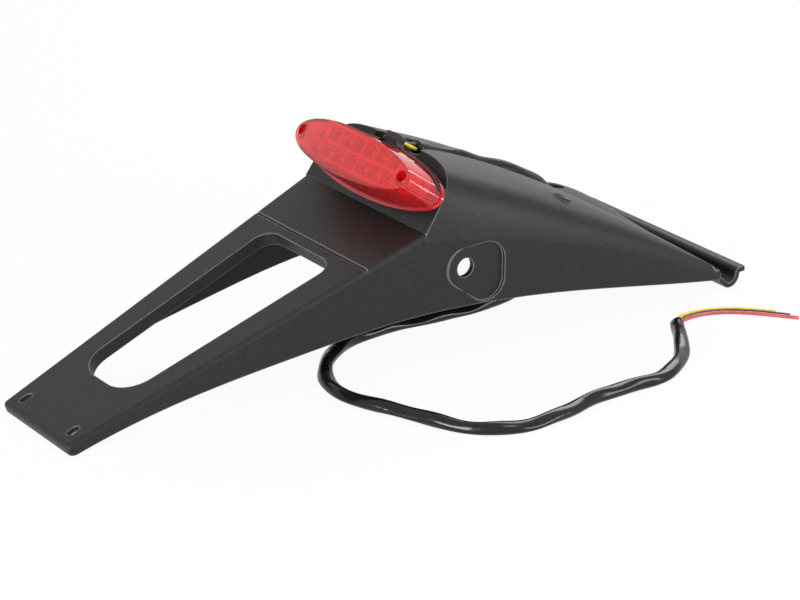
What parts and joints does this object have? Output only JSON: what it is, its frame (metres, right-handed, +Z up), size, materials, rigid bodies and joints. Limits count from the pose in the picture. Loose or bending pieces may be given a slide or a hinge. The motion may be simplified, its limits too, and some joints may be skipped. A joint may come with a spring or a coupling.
{
  "type": "motorbike tail tidy",
  "caption": "Black moulded number-plate carrier for a motorbike's tail, with an open window in its plate tongue, an arched hood, a red oval tail lamp and a sleeved lead.",
  "frame": {"origin": "under the middle of the moulding, on the surface that it rests on", "axes": "+X from the tongue's tip to the front lip, +Y to the side away from the loose lead, +Z up"},
  "size_m": [0.3929, 0.2018, 0.1139],
  "materials": {
    "body_plastic": "fine moulded texture, satin black",
    "lamp_base_plastic": "smooth black",
    "red_lens": "polished translucent red",
    "rubber": "matt",
    "board": "white solder mask",
    "led_resin": "clear red resin",
    "resistor": "matt",
    "reflector_plastic": "bright metallised",
    "zinc_steel": "zinc plated",
    "sleeve_vinyl": "soft glossy vinyl",
    "wire_yellow": "smooth insulation",
    "wire_red": "smooth insulation",
    "wire_black": "smooth insulation"
  },
  "bodies": {
    "root": {"tail_moulding": "body_plastic", "lamp_gasket": "rubber", "lamp_base": "lamp_base_plastic", "lens_seal": "rubber", "lamp_lens": "red_lens", "circuit_board": "board", "tail_leds": "led_resin", "board_resistors": "resistor", "reflector": "reflector_plastic", "lens_screws": "zinc_steel", "lamp_studs": "zinc_steel", "lamp_washers": "zinc_steel", "lamp_nuts": "zinc_steel", "harness_sleeve": "sleeve_vinyl", "lamp_wire_yellow": "wire_yellow", "lamp_wire_red": "wire_red", "lamp_wire_black": "wire_black", "lead_yellow": "wire_yellow", "lead_red": "wire_red", "lead_black": "wire_black"}
  },
  "joints": []
}
